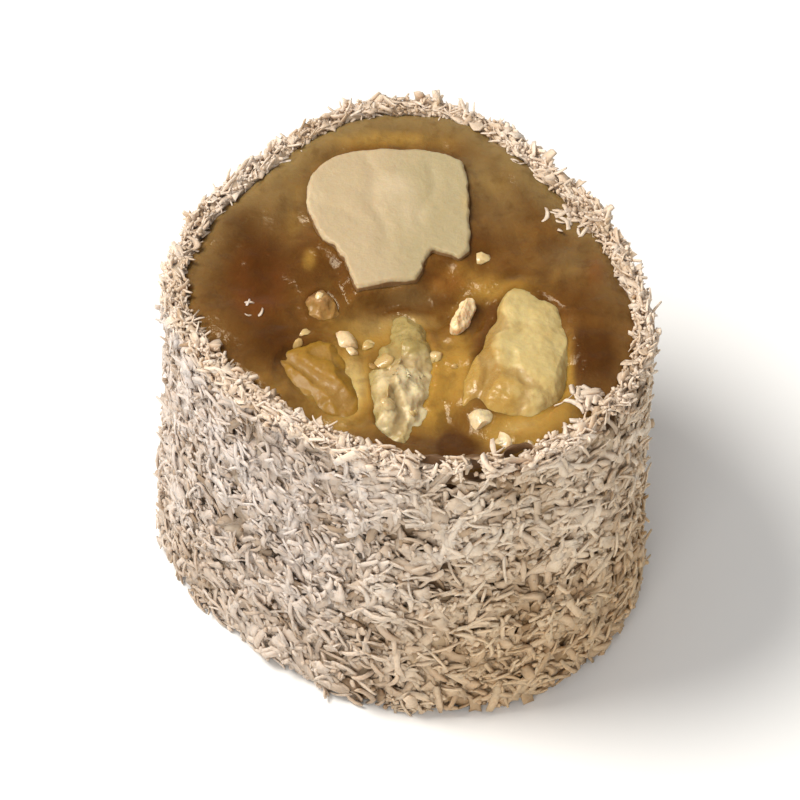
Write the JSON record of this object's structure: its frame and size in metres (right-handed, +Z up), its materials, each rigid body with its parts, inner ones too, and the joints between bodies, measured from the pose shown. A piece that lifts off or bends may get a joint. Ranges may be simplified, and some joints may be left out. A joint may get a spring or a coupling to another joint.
{
  "type": "walnut turkish delight",
  "caption": "Round upright slice of Turkish delight: translucent jelly with walnut pieces in its cut faces and a coat of coconut shreds round its side.",
  "frame": {"origin": "on the floor, at the middle of the slice's outer box", "axes": "+Z up through the upper cut face, -Y towards the viewer in the picture, +X to the viewer's right"},
  "size_m": [0.0326, 0.0336, 0.025],
  "materials": {
    "jelly": "glossy translucent amber-brown starch jelly, damp where it was cut",
    "coconut": "dry off-white coconut shreds",
    "walnut": "cream walnut flesh, slightly oily, amber where syrup lies on it"
  },
  "bodies": {
    "root": {"jelly": "jelly", "coconut_coat": "coconut", "walnut_back": "walnut", "walnut_right": "walnut", "walnut_middle": "walnut", "walnut_left": "walnut", "walnut_small": "walnut", "walnut_chip": "walnut", "walnut_foot": "walnut"}
  },
  "joints": []
}
